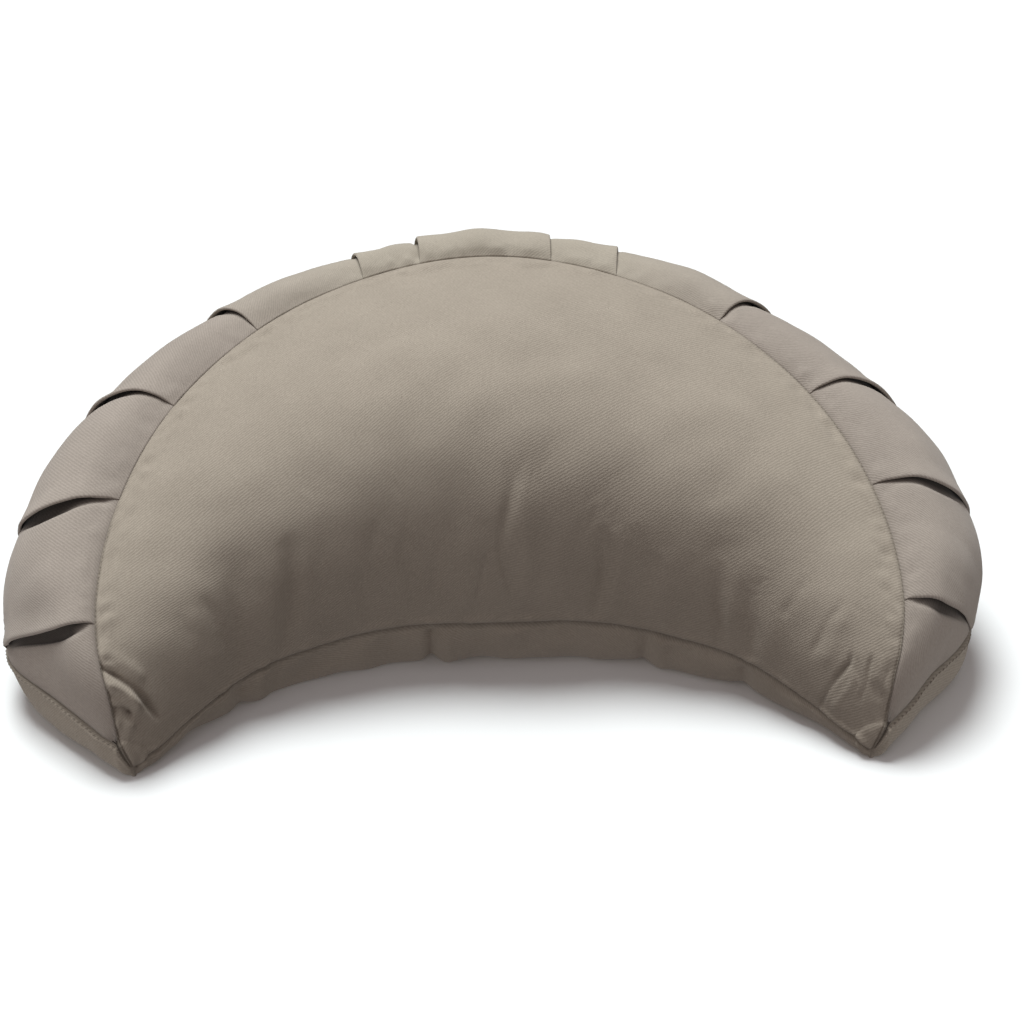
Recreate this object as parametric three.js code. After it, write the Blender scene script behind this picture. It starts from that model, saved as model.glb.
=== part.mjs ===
import * as THREE from "three";

// A crescent sitting cushion: a filled body, and a pleated band sewn round its outer side.
// Millimetres. +X runs across the horns, +Y to the rounded back, +Z up, and the base lies on z = 0.

// Sections of the body on rays from the middle of the crescent, from the back round to the tip of a horn.
// seamR, seamZ: upper outer seam. reach, lowZ: widest line and lower outer seam, which draws in by tuck.
// innerR, innerZ: seam of the hollow side, which leans out by over.
// puff: swell of the band above its seam, and belly: its swell at half height, as a share of its width.
// rise: crown of the top. brow, crown: how high the hollow side and how far in the top are full, as shares.
const SECTIONS = [
  { angle: 0, seamR: 193, seamZ: 148, reach: 244, lowZ: 25, tuck: 6, innerR: 36, innerZ: 28,
    puff: 21, belly: 0.16, over: 15, rise: 13, brow: 0.85, crown: 0.29 },
  { angle: 28, seamR: 191, seamZ: 139, reach: 245, lowZ: 25, tuck: 6, innerR: 41, innerZ: 28,
    puff: 13, belly: 0.16, over: 15, rise: 15, brow: 0.85, crown: 0.29 },
  { angle: 52, seamR: 190, seamZ: 121, reach: 246, lowZ: 25, tuck: 4, innerR: 59, innerZ: 27,
    puff: 12, belly: 0.16, over: 14, rise: 18, brow: 0.85, crown: 0.29 },
  { angle: 72, seamR: 190, seamZ: 102, reach: 245, lowZ: 25, tuck: 1, innerR: 89, innerZ: 24,
    puff: 12, belly: 0.15, over: 11, rise: 16, brow: 0.82, crown: 0.31 },
  { angle: 85, seamR: 193, seamZ: 83.5, reach: 234, lowZ: 26, tuck: -2, innerR: 120, innerZ: 21,
    puff: 7, belly: 0.04, over: 5, rise: 8, brow: 0.74, crown: 0.37 },
  { angle: 93, seamR: 194.5, seamZ: 69, reach: 215, lowZ: 25, tuck: 0, innerR: 140, innerZ: 17,
    puff: 3, belly: -0.1, over: 2, rise: 4, brow: 0.66, crown: 0.42 },
  { angle: 98, seamR: 193.5, seamZ: 54, reach: 203, lowZ: 21.5, tuck: 0, innerR: 157, innerZ: 12,
    puff: 0, belly: -0.1, over: 0, rise: 3, brow: 0.6, crown: 0.46 },
  { angle: 100.6, seamR: 191, seamZ: 40, reach: 196, lowZ: 20, tuck: 0, innerR: 166, innerZ: 9.5,
    puff: 0, belly: -0.1, over: 0, rise: 2, brow: 0.55, crown: 0.5 },
  { angle: 102.4, seamR: 189, seamZ: 20, reach: 191, lowZ: 18.5, tuck: 0, innerR: 175, innerZ: 8,
    puff: 0, belly: -0.1, over: 0, rise: 1, brow: 0.5, crown: 0.5 },
];

// Knife pleats of each half, from the back to the tip. Each lip faces its own tip.
// angle: lip at the upper seam. lean, foot: turn of the lip at half height and at the lower seam.
// gape: how far the lip stands open at half height.
const RIGHT_PLEATS = [
  { angle: 9.9, lean: -1.4, foot: 0, gape: 1 },
  { angle: 20.2, lean: -2.6, foot: 0, gape: 1 },
  { angle: 37.8, lean: 0.9, foot: 5, gape: 1.5 },
  { angle: 56.6, lean: 2.8, foot: -0.7, gape: 2 },
  { angle: 74.9, lean: 3.3, foot: -9, gape: 2.5 },
  { angle: 92.4, lean: 0.8, foot: -7.9, gape: 3 },
];
const LEFT_PLEATS = [
  { angle: 10, lean: -1, foot: 0, gape: 2.5 },
  { angle: 19.1, lean: -1.1, foot: -3, gape: 1 },
  { angle: 37.8, lean: 0.9, foot: -1, gape: 1.5 },
  { angle: 56.3, lean: 2.1, foot: 0, gape: 2 },
  { angle: 74.6, lean: 4.2, foot: -10, gape: 3 },
  { angle: 93, lean: 1, foot: -9.6, gape: 3.5 },
];

// Soft upright ridges that the hollow side draws into above its seam, by their place across the cushion.
const RIDGES = [
  { x: -138, height: 2, width: 9 },
  { x: -106, height: 2.5, width: 10 },
  { x: -62, height: 1.5, width: 13 },
  { x: -22, height: 1.2, width: 14 },
  { x: 12, height: 2, width: 12 },
  { x: 52, height: 1.6, width: 12 },
  { x: 84, height: 2.2, width: 10 },
  { x: 112, height: 1.8, width: 10 },
  { x: 142, height: 2.5, width: 9 },
];
const RIDGE_TOP = 0.55;

// Rounded end of a horn: degrees past the last section, and size of the section there.
const TIP_ROUND = [
  { past: 0.6, size: 0.92 },
  { past: 1.05, size: 0.72 },
  { past: 1.3, size: 0.42 },
];
const TIP_HEIGHT = 6;

// Round of the bottom panel at the floor, and the crease of the seam on the hollow side.
const FLOOR_ROUND = 12;
const ROUND_SHARE = 0.4;
const SEAM_DEPTH = 2.5;
const SEAM_HALF = 2;
const SEAM_SHARE = 0.2;

// How full the curves of a section are, as shares of its width and height.
const SHOULDER_OUT = 0.72;
const BELLY_UP = 0.55;
const BROW_RISE = 0.3;

// The band: thickness of its cloth, gaps, folds, and where it ends in degrees.
const CLOTH = 1.1;
const LAYER_GAP = 0.35;
const SEAT_GAP = 1.7;
const EDGE_GAP = 0.9;
const FOLD_DEPTH = 12;
const FOLD_CLEAR = 2 * CLOTH;
const LIP_NOSE = 0.6 * CLOTH;
const LIP_INSIDE = 1.3 * CLOTH;
const TURN_INSIDE = 0.7 * CLOTH;
const LIFT_SHARE = 0.6;
const LIP_REACH = 26;
const PANEL_SWELL = 0.055;
const END_SWELL = 2;
const SEAT_LEAST = 0.3;

// The blunt nose of a horn: angles that the body and the end of the band share, where the seat ends,
// how deep the seat is there, and how much wider the gap at the band's edges.
const NOSE = [96.4, 97.8, 98.9, 99.7, 100.3, 100.7, 101.0];
const SEAT_END = 101.5;
const NOSE_SEAT = 1.5;
const NOSE_EDGE = 4.4;

// Facets round and across the pieces.
const HALF_STEPS = 31;
const TOP_STEPS = 16;
const BAND_ROWS = 11;
const ROUND_STEPS = 3;
const PANEL_STEPS = 4;
const END_STEPS = 3;

const LEVEL = CLOTH + LAYER_GAP;
const STACK = 3 * CLOTH + 2 * LAYER_GAP;
const SEAT = STACK / 2 + SEAT_GAP;
const BAND_END = NOSE.at(-1);
const TIP = SECTIONS.at(-1).angle;

const { degToRad, radToDeg, lerp } = THREE.MathUtils;

// Slope of a column at a row of the table. The back is level, as the two halves mirror there.
function slope(column, i) {
  if (i === 0) return 0;
  const before = SECTIONS[i - 1];
  const after = SECTIONS[Math.min(i + 1, SECTIONS.length - 1)];
  return (after[column] - before[column]) / (after.angle - before.angle);
}

// A column of the table at any angle, as a smooth curve through its rows.
function along(column, angle) {
  const a = Math.min(Math.abs(angle), TIP);
  const next = SECTIONS.findIndex((row, i) => i > 0 && row.angle >= a);
  const from = SECTIONS[next - 1];
  const to = SECTIONS[next];
  const span = to.angle - from.angle;
  const t = (a - from.angle) / span;
  const ease = t * t * (3 - 2 * t);
  const leave = t * (1 - t) * (1 - t) * span * slope(column, next - 1);
  const arrive = t * t * (1 - t) * span * slope(column, next);
  return lerp(from[column], to[column], ease) + leave - arrive;
}

// The curves of a section: the band from the upper to the lower seam, and the top from the hollow side.
function section(angle) {
  const at = (column) => along(column, angle);
  const seam = new THREE.Vector2(at("seamR"), at("seamZ"));
  const inner = new THREE.Vector2(at("innerR"), at("innerZ"));
  const low = new THREE.Vector2(at("reach") - at("tuck"), at("lowZ"));
  const swell = at("reach") - seam.x;
  const fall = seam.y - low.y;
  const width = seam.x - inner.x;
  const height = seam.y - inner.y + BROW_RISE * at("rise");
  const shoulder = new THREE.Vector2(seam.x + SHOULDER_OUT * swell, seam.y + at("puff"));
  const belly = new THREE.Vector2(at("reach") + at("belly") * swell, low.y + BELLY_UP * fall);
  const brow = new THREE.Vector2(inner.x - at("over"), inner.y + at("brow") * height);
  const crown = new THREE.Vector2(inner.x + at("crown") * width, seam.y + at("rise"));
  return {
    band: new THREE.CubicBezierCurve(seam, shoulder, belly, low),
    top: new THREE.CubicBezierCurve(inner, brow, crown, seam),
    inner,
    low,
  };
}

// A point of a curve moved out square to it.
function offset(curve, t, out) {
  const point = curve.getPoint(t);
  const run = curve.getTangent(t);
  return point.add(new THREE.Vector2(-run.y, run.x).multiplyScalar(out));
}

// How far into the nose of a horn an angle lies.
function nose(angle) {
  return THREE.MathUtils.smoothstep(Math.abs(angle), NOSE[0] - 2, NOSE[3]);
}

function place(angle, point) {
  const a = degToRad(angle);
  return new THREE.Vector3(point.x * Math.sin(a), point.x * Math.cos(a), point.y);
}

function ridge(x, t) {
  if (t >= RIDGE_TOP) return 0;
  const rows = RIDGES.map((r) => r.height * Math.exp(-(((x - r.x) / r.width) ** 2)));
  return rows.reduce((sum, h) => sum + h, 0) * Math.sin((Math.PI * t) / RIDGE_TOP) ** 2;
}

// One closed outline of the body: up the hollow side, over the top and down the seat of the band.
function outline(angle) {
  const { band, top, inner, low } = section(angle);
  const points = [];
  const round = Math.min(FLOOR_ROUND, ROUND_SHARE * (low.x - inner.x));
  const lip = inner.y - Math.min(SEAM_HALF, SEAM_SHARE * inner.y);
  for (let i = 0; i <= ROUND_STEPS; i++) {
    const q = (i / ROUND_STEPS) * (Math.PI / 2);
    points.push(new THREE.Vector2(inner.x + round * (1 - Math.sin(q)), lip * (1 - Math.cos(q))));
  }
  points.push(new THREE.Vector2(inner.x + SEAM_DEPTH * Math.min(1, round / FLOOR_ROUND), inner.y));
  for (let i = 1; i <= TOP_STEPS; i++) {
    const t = i / TOP_STEPS;
    points.push(offset(top, t, ridge(place(angle, top.getPoint(t)).x, t)));
  }
  const seat = Math.abs(angle) < TIP ? lerp(SEAT, NOSE_SEAT, nose(angle)) : SEAT_LEAST;
  for (let i = 0; i <= BAND_ROWS; i++) points.push(offset(band, i / BAND_ROWS, -seat));
  for (let i = 0; i <= ROUND_STEPS; i++) {
    const q = (i / ROUND_STEPS) * (Math.PI / 2);
    points.push(new THREE.Vector2(low.x - round * (1 - Math.cos(q)), low.y * (1 - Math.sin(q))));
  }
  return points;
}

function mesh(name, points, triangles, material) {
  const geometry = new THREE.BufferGeometry().setFromPoints(points);
  geometry.setIndex(triangles.flat());
  geometry.computeVertexNormals();
  const made = new THREE.Mesh(geometry, material);
  made.name = name;
  return made;
}

// Triangles of a strip between two rows of vertex numbers.
function strip(a, b) {
  return a.slice(1).flatMap((next, i) => [
    [a[i], b[i], next],
    [next, b[i], b[i + 1]],
  ]);
}

function cushionBody(material) {
  const ends = [...NOSE, SEAT_END, TIP];
  const angles = ends.map((angle) => -angle).reverse();
  for (let i = 1 - HALF_STEPS; i < HALF_STEPS; i++) angles.push((i / HALF_STEPS) * NOSE[0]);
  angles.push(...ends);
  const rings = angles.map((angle) => outline(angle).map((p) => place(angle, p)));
  for (const side of [-1, 1]) {
    const last = outline(TIP);
    const middle = new THREE.Vector2((last[0].x + last.at(-1).x) / 2, TIP_HEIGHT);
    for (const { past, size } of TIP_ROUND) {
      const angle = side * (TIP + past);
      const ring = last.map((p) => place(angle, p.clone().sub(middle).multiplyScalar(size).add(middle)));
      if (side < 0) rings.unshift(ring);
      else rings.push(ring);
    }
  }
  const count = rings[0].length;
  const numbers = rings.map((ring, k) => [...ring.keys(), 0].map((i) => k * count + i));
  const points = rings.flat();
  const triangles = numbers.slice(1).flatMap((row, k) => strip(numbers[k], row));
  for (const [ring, row, turned] of [
    [rings[0], numbers[0], false],
    [rings.at(-1), numbers.at(-1), true],
  ]) {
    const centre = points.length;
    points.push(ring.reduce((sum, p) => sum.add(p), new THREE.Vector3()).divideScalar(count));
    for (let i = 0; i < count; i++) {
      triangles.push(turned ? [row[i + 1], row[i], centre] : [row[i], row[i + 1], centre]);
    }
  }
  return mesh("crescent_cushion", points, triangles, material);
}

// One fold of the cloth at a lip: distance past the lip and height, for the outer and the inner face.
// lift: how much of the gape of the lip each column takes.
const FOLD = [
  { out: -FOLD_DEPTH / 2, outN: STACK, inn: -FOLD_DEPTH / 2, innN: 2 * LEVEL, lift: LIFT_SHARE },
  { out: -LIP_NOSE, outN: STACK, inn: -LIP_INSIDE, innN: 2 * LEVEL, lift: 1 },
  { out: 0, outN: STACK - LEVEL, inn: -CLOTH, innN: 2 * LEVEL - LAYER_GAP / 2, lift: 1 },
  { out: -LIP_NOSE, outN: LEVEL, inn: -LIP_INSIDE, innN: LEVEL + CLOTH, lift: 1 },
  { out: -FOLD_DEPTH / 2, outN: LEVEL, inn: -FOLD_DEPTH / 2, innN: LEVEL + CLOTH, lift: LIFT_SHARE },
  { out: -FOLD_DEPTH, outN: LEVEL, inn: -FOLD_DEPTH - TURN_INSIDE, innN: LEVEL + CLOTH, lift: 0 },
  { out: -FOLD_DEPTH, outN: CLOTH, inn: -FOLD_DEPTH - TURN_INSIDE, innN: 0, lift: 0 },
  { out: -FOLD_DEPTH / 2, outN: CLOTH, inn: -FOLD_DEPTH / 2, innN: 0, lift: 0 },
  { out: FOLD_CLEAR, outN: CLOTH, inn: FOLD_CLEAR, innN: 0, lift: 0 },
];

// Angle of a lip at a share of the way down the band.
function lipAngle(pleat, s) {
  return pleat.angle + pleat.lean * Math.sin(Math.PI * s) + pleat.foot * s * s;
}

// Columns of one half of the band at a share of the way down it, from the back to the tip.
// Each is a pair of faces, given by angle and height over the seat.
function halfRow(pleats, s) {
  const columns = [];
  const open = Math.sin(Math.PI * s);
  let start = 0;
  let level = 2 * LEVEL;
  for (const pleat of pleats) {
    const lip = lipAngle(pleat, s);
    const radius = section(lip).band.getPoint(s).x;
    const turn = (mm) => lip + radToDeg(mm / radius);
    const ramp = turn(-FOLD_DEPTH - FOLD_CLEAR);
    const centre = columns.length === 0;
    const swell = PANEL_SWELL * (ramp - start) * degToRad(radius) * open;
    for (let i = centre ? 0 : 1; i <= PANEL_STEPS; i++) {
      const share = i / PANEL_STEPS;
      const angle = lerp(start, ramp, share);
      const near = Math.max(0, 1 - ((lip - angle) * degToRad(radius)) / LIP_REACH);
      const arch = centre ? Math.cos((Math.PI / 2) * share) : Math.sin(Math.PI * share);
      const height = lerp(level, 2 * LEVEL, share) + swell * arch + pleat.gape * open * near;
      columns.push({ out: angle, inn: angle, outN: height + CLOTH, innN: height });
    }
    for (const f of FOLD) {
      const lift = f.lift * pleat.gape * open;
      columns.push({ out: turn(f.out), inn: turn(f.inn), outN: f.outN + lift, innN: f.innN + lift });
    }
    start = turn(FOLD.at(-1).out);
    level = 0;
  }
  const last = [];
  for (let i = 1; i < END_STEPS; i++) last.push(lerp(start, NOSE[0], i / END_STEPS));
  for (const angle of [...last, ...NOSE]) {
    const swell = END_SWELL * open * Math.sin((Math.PI * (angle - start)) / (BAND_END - start));
    const height = swell + ((STACK - CLOTH) / 2) * nose(angle);
    columns.push({ out: angle, inn: angle, outN: height + CLOTH, innN: height });
  }
  return columns;
}

function pleatedBand(material) {
  const outer = [];
  const inner = [];
  const put = (angle, share, height) => {
    const { band } = section(angle);
    const edge = (EDGE_GAP + NOSE_EDGE * nose(angle)) / band.getLength();
    const s = lerp(edge, 1 - edge, share);
    return place(angle, offset(band, s, height - STACK / 2));
  };
  for (let j = 0; j <= BAND_ROWS; j++) {
    const share = j / BAND_ROWS;
    const mirror = (c) => ({ ...c, out: -c.out, inn: -c.inn });
    const left = halfRow(LEFT_PLEATS, share).slice(1).reverse().map(mirror);
    const columns = [...left, ...halfRow(RIGHT_PLEATS, share)];
    outer.push(columns.map((c) => put(c.out, share, c.outN)));
    inner.push(columns.map((c) => put(c.inn, share, c.innN)));
  }
  const count = outer[0].length;
  const points = [...outer.flat(), ...inner.flat()];
  const under = outer.length * count;
  const rows = outer.map((row, j) => [...row.keys()].map((i) => j * count + i));
  const backs = rows.map((row) => row.map((i) => i + under));
  const column = (set, i) => set.map((row) => row.at(i));
  const triangles = [
    ...rows.slice(1).flatMap((row, j) => strip(row, rows[j])),
    ...backs.slice(1).flatMap((row, j) => strip(backs[j], row)),
    ...strip(rows[0], backs[0]),
    ...strip(backs.at(-1), rows.at(-1)),
    ...strip(column(backs, 0), column(rows, 0)),
    ...strip(column(rows, -1), column(backs, -1)),
  ];
  return mesh("pleated_band", points, triangles, material);
}

const twill = new THREE.MeshStandardMaterial({ color: 0x8f857a, roughness: 0.92, metalness: 0 });
const bandTwill = new THREE.MeshStandardMaterial({ color: 0x948a80, roughness: 0.92, metalness: 0 });

const cushion = new THREE.Group();
cushion.name = "crescent_zafu";
cushion.add(cushionBody(twill), pleatedBand(bandTwill));

// The origin is the middle of the base.
const box = new THREE.Box3().setFromObject(cushion);
const middle = box.getCenter(new THREE.Vector3());
for (const child of cushion.children) child.geometry.translate(-middle.x, -middle.y, -box.min.z);

export default cushion;
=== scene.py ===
import math

import bmesh
import bpy
import numpy as np
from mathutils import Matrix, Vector


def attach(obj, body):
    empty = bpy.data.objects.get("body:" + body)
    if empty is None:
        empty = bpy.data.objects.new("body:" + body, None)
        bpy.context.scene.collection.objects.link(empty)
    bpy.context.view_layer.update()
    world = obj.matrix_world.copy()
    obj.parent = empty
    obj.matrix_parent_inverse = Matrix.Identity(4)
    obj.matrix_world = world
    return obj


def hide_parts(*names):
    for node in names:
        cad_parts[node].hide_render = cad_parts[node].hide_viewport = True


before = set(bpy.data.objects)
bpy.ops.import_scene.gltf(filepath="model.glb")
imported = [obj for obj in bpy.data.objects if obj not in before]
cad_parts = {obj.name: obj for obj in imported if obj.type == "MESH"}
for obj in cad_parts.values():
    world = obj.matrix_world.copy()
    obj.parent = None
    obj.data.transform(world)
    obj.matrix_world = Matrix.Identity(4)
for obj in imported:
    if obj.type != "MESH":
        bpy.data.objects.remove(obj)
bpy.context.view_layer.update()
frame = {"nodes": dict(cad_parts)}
scene = bpy.context.scene
print("frame loaded:", ", ".join(frame["nodes"]))


# the crescent in millimetres: one section for each angle from the middle of the back
crescent = {
    "middle": (-0.025, -100.417),  # centre of the curve, in the frame
    "tip": 102.4,
    "angle": [0, 28, 52, 72, 85, 93, 98, 100.6, 102.4],
    "seamRadius": [193, 191, 190, 190, 193, 194.5, 193.5, 191, 189],
    "seamHeight": [148, 139, 121, 102, 83.5, 69, 54, 40, 20],
    "reach": [244, 245, 246, 245, 236, 218, 205, 197, 191],
    "lowHeight": [25, 25, 25, 25, 26, 25, 21.5, 20, 18.5],
    "tuck": [6, 6, 4, 1, -2, 0, 0, 0, 0],
    "hollowRadius": [36, 41, 59, 89, 120, 140, 157, 166, 175],
    "hollowHeight": [28, 28, 27, 24, 21, 17, 12, 9.5, 8],
    "puff": [21, 13, 12, 12, 7, 3, 0, 0, 0],
    "overhang": [15, 15, 14, 11, 5, 2, 0, 0, 0],
    "rise": [13, 15, 18, 16, 8, 4, 3, 2, 1],
    "shoulder": [0.85, 0.85, 0.85, 0.82, 0.74, 0.66, 0.60, 0.55, 0.5],
    "brow": [0.29, 0.29, 0.29, 0.31, 0.37, 0.42, 0.46, 0.5, 0.5],
    "belly": [0.16, 0.16, 0.16, 0.15, 0.04, -0.16, -0.2, -0.2, -0.2],
    "footSwell": [0, 0, 0, 1, 2, 3, 3, 3, 2],
    "rightInset": [0, 0, 0, 0, 4, 7, 4.5, 2, 0],   # the lower seam of the right horn lies further in
    "leftOutset": [0, 0, 0, 0, 5, 0, -2, 0, 0],   # and that of the left horn further out
    "lowRound": 12.0,
}


def sectionValue(name, degrees):
    knots = np.array(crescent["angle"], float)
    values = np.array(crescent[name], float)
    slopes = np.zeros(len(knots))
    slopes[1:-1] = (values[2:] - values[:-2]) / (knots[2:] - knots[:-2])
    slopes[-1] = (values[-1] - values[-2]) / (knots[-1] - knots[-2])
    at = np.clip(np.abs(degrees), 0, crescent["tip"])
    k = np.clip(np.searchsorted(knots, at, side="right") - 1, 0, len(knots) - 2)
    gap = knots[k + 1] - knots[k]
    f = (at - knots[k]) / gap
    return (
        (2 * f**3 - 3 * f**2 + 1) * values[k]
        + (f**3 - 2 * f**2 + f) * gap * slopes[k]
        + (3 * f**2 - 2 * f**3) * values[k + 1]
        + (f**3 - f**2) * gap * slopes[k + 1]
    )


def sectionCorners(degrees):
    v = {name: sectionValue(name, degrees) for name in crescent if isinstance(crescent[name], list) and name != "angle"}
    pair = lambda r, z: np.stack([r, z], -1)
    swell = v["reach"] - v["seamRadius"]
    fall = v["seamHeight"] - v["lowHeight"]
    width = v["seamRadius"] - v["hollowRadius"]
    height = v["seamHeight"] - v["hollowHeight"] + 0.3 * v["rise"]
    seam = pair(v["seamRadius"], v["seamHeight"])
    hollow = pair(v["hollowRadius"], v["hollowHeight"])
    inset = np.where(np.asarray(degrees) > 0, v["rightInset"], -v["leftOutset"])
    low = pair(v["reach"] - v["tuck"] - inset, v["lowHeight"])
    band = [
        seam,
        pair(v["seamRadius"] + 0.72 * swell, v["seamHeight"] + v["puff"]),
        pair(v["reach"] + v["belly"] * swell, v["lowHeight"] + 0.55 * fall),
        low,
    ]
    top = [
        hollow,
        pair(v["hollowRadius"] - v["overhang"], v["hollowHeight"] + v["shoulder"] * height),
        pair(v["hollowRadius"] + v["brow"] * width, v["seamHeight"] + v["rise"]),
        seam,
    ]
    footSwell = v["footSwell"] + np.minimum(inset, -0.2 * inset)
    return {"seam": seam, "hollow": hollow, "low": low, "band": band, "top": top, "footSwell": footSwell}


def curvePoint(corners, share):
    s = share[..., None]
    a, b, c, d = corners
    return (1 - s) ** 3 * a + 3 * s * (1 - s) ** 2 * b + 3 * s**2 * (1 - s) * c + s**3 * d


def curveNormal(corners, share):
    s = share[..., None]
    a, b, c, d = corners
    run = (1 - s) ** 2 * (b - a) + 2 * s * (1 - s) * (c - b) + s**2 * (d - c)
    run = run / np.linalg.norm(run, axis=-1, keepdims=True)
    return np.stack([-run[..., 1], run[..., 0]], -1)


def atAngle(degrees, section):
    turn = np.radians(degrees)
    x = section[..., 0] * np.sin(turn) + crescent["middle"][0]
    y = section[..., 0] * np.cos(turn) + crescent["middle"][1]
    return np.stack([x, y, section[..., 1]], -1)


def crowded(count, evenness):
    u = np.linspace(0, 1, count)
    return evenness * u + (1 - evenness) * (0.5 - 0.5 * np.cos(np.pi * u))


def bell(x, width):
    return np.exp(-((x / width) ** 2))


def smooth(x):
    x = np.clip(x, 0, 1)
    return x * x * (3 - 2 * x)


def softNoise(points, wave, seed, waves=28):
    rng = np.random.default_rng(seed)
    total = np.zeros(points.shape[:-1])
    for _ in range(waves):
        way = rng.normal(size=points.shape[-1])
        way *= 2 * np.pi / (wave * rng.uniform(0.7, 1.6)) / np.linalg.norm(way)
        total += np.cos(points @ way + rng.uniform(0, 2 * np.pi))
    return total / math.sqrt(waves / 2)


def gridNormals(points):
    across = np.gradient(points, axis=0)
    down = np.roll(points, -1, 1) - np.roll(points, 1, 1)
    n = np.cross(across, down)
    return n / np.maximum(np.linalg.norm(n, axis=-1, keepdims=True), 1e-9)


def meshObject(name, verts, faces, loopUv, shade, material):
    mesh = bpy.data.meshes.new(name)
    mesh.from_pydata((np.asarray(verts) * 0.001).tolist(), [], faces)
    mesh.uv_layers.new(name="cloth").data.foreach_set("uv", np.asarray(loopUv, np.float32).ravel())
    mesh.attributes.new("shade", "FLOAT", "POINT").data.foreach_set("value", np.asarray(shade, np.float32))
    mesh.polygons.foreach_set("use_smooth", np.ones(len(mesh.polygons), bool))
    mesh.materials.append(material)
    mesh.update()
    piece = bpy.data.objects.new(name, mesh)
    scene.collection.objects.link(piece)
    return piece


# cotton twill: fine diagonal ribs broken by the yarn, and a mottled dye
panelCloth = {
    "light": (0.452, 0.402, 0.333),
    "dark": (0.262, 0.229, 0.187),
    "rib": 1.3,              # mm from rib to rib
    "lean": -34.0,
    "relief": 0.00014,
}
bandCloth = {
    "light": (0.445, 0.395, 0.345),
    "dark": (0.264, 0.232, 0.202),
    "rib": 1.3,
    "lean": -48.0,
    "relief": 0.00014,
    # the colour is multiplied paler towards the middle of the back
    "paleBack": (1.13, 1.16, 1.10),   # the middle of the back is paler
}
threadCloth = {"light": (0.27, 0.24, 0.20), "dark": (0.17, 0.15, 0.125)}


def addNode(tree, kind, settings=None, **values):
    node = tree.nodes.new(kind)
    for key, value in (settings or {}).items():
        setattr(node, key, value)
    for key, value in values.items():
        numbered = key.startswith("in") and key[2:].isdigit()
        socket = node.inputs[int(key[2:])] if numbered else node.inputs[key.replace("_", " ")]
        if isinstance(value, bpy.types.NodeSocket):
            tree.links.new(value, socket)
        else:
            socket.default_value = value
    return node


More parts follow.
